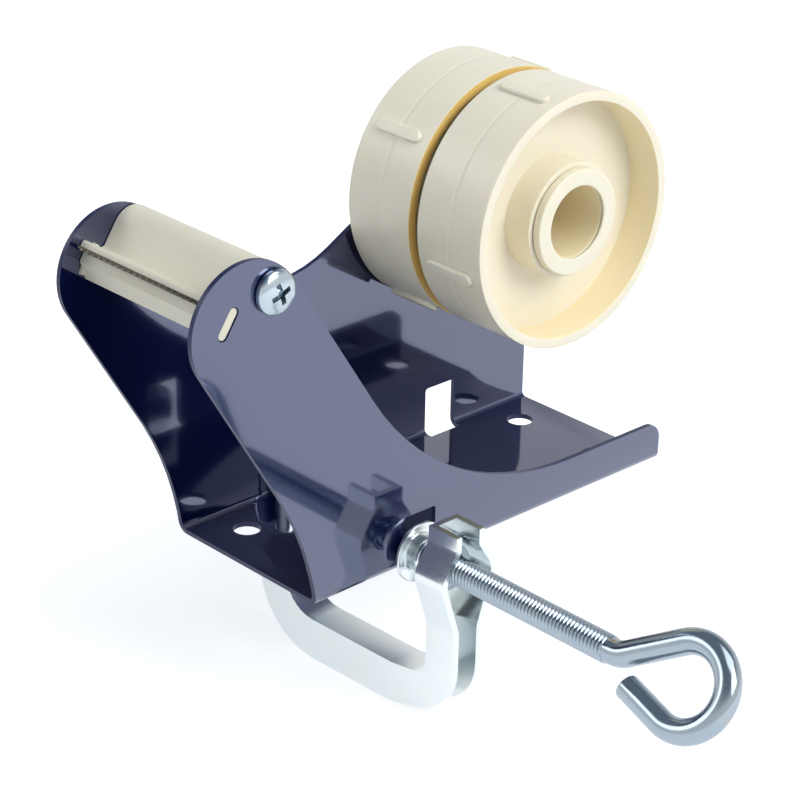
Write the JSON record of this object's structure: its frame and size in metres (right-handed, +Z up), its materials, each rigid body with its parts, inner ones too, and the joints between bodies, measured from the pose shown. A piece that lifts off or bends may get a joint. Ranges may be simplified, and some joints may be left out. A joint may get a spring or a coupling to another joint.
{
  "type": "clamp-on tape dispenser",
  "caption": "Clamp-on tape dispenser: folded steel channel with a cutter between its noses, a two part hub on a spindle, and a screw clamp.",
  "frame": {"origin": "centre of the channel floor's underside, the face that rests on the bench", "axes": "+X from the cutter to the rear, +Y from the side plate beside the clamp screw to the plate that carries the spindle, +Z up"},
  "size_m": [0.176, 0.1755, 0.1655],
  "materials": {
    "navy_enamel": "gloss stove enamel on sheet steel",
    "cream_plastic": "semi gloss moulded plastic",
    "cream_holder_plastic": "satin moulded plastic",
    "blade_steel": "dark hardened spring steel",
    "zinc_plate": "bright blue passivated zinc plate",
    "rod_zinc_plate": "bright zinc plate on rolled rod"
  },
  "bodies": {
    "frame": {"frame": "navy_enamel", "cutter_holder": "cream_holder_plastic", "cutter_blade": "blade_steel", "holder_screw_near": "zinc_plate", "holder_screw_far": "zinc_plate", "spindle": "cream_plastic", "spindle_cap": "cream_plastic", "spindle_screw": "zinc_plate"},
    "hub_near": {"hub_half_near": "cream_plastic"},
    "hub_far": {"hub_half_far": "cream_plastic"},
    "clamp_pin": {"clamp_pin": "zinc_plate"},
    "clamp_bow": {"clamp_bow": "zinc_plate", "clamp_nut": "rod_zinc_plate"},
    "clamp_ball": {"clamp_ball": "rod_zinc_plate"},
    "clamp_screw": {"clamp_screw": "rod_zinc_plate"},
    "clamp_pad": {"clamp_pad": "zinc_plate"}
  },
  "joints": [
    {"name": "hub_near_spin", "type": "hinge", "parent": "frame", "child": "hub_near", "pos_m": [0.0291, -0.01425, 0.0848], "axis": [0, 1, 0], "continuous": true},
    {"name": "hub_far_spin", "type": "hinge", "parent": "frame", "child": "hub_far", "pos_m": [0.0291, 0.01365, 0.0848], "axis": [0, 1, 0], "continuous": true},
    {"name": "clamp_lift", "type": "slide", "parent": "frame", "child": "clamp_pin", "axis": [0, 0, 1], "range_m": [-0.014, 0]},
    {"name": "clamp_swing", "type": "hinge", "parent": "clamp_pin", "child": "clamp_bow", "pos_m": [-0.0327, 0.0236, 0], "axis": [0, 0, 1], "range_deg": [-1.5, 1.5]},
    {"name": "screw_feed", "type": "slide", "parent": "clamp_bow", "child": "clamp_ball", "axis": [0, 1, 0], "range_m": [-0.002, 0]},
    {"name": "screw_turn", "type": "hinge", "parent": "clamp_ball", "child": "clamp_screw", "pos_m": [-0.0319, -0.0382, 0.0053], "axis": [0, 1, 0], "range_deg": [-576, 0]},
    {"name": "pad_tilt", "type": "hinge", "parent": "clamp_ball", "child": "clamp_pad", "pos_m": [-0.0319, -0.0343, 0.0053], "axis": [1, 0, 0], "range_deg": [-1.5, 1.5]}
  ],
  "couplings": [
    {"joint": "screw_turn", "follows": "screw_feed", "rad_per_m": 5026.5}
  ]
}
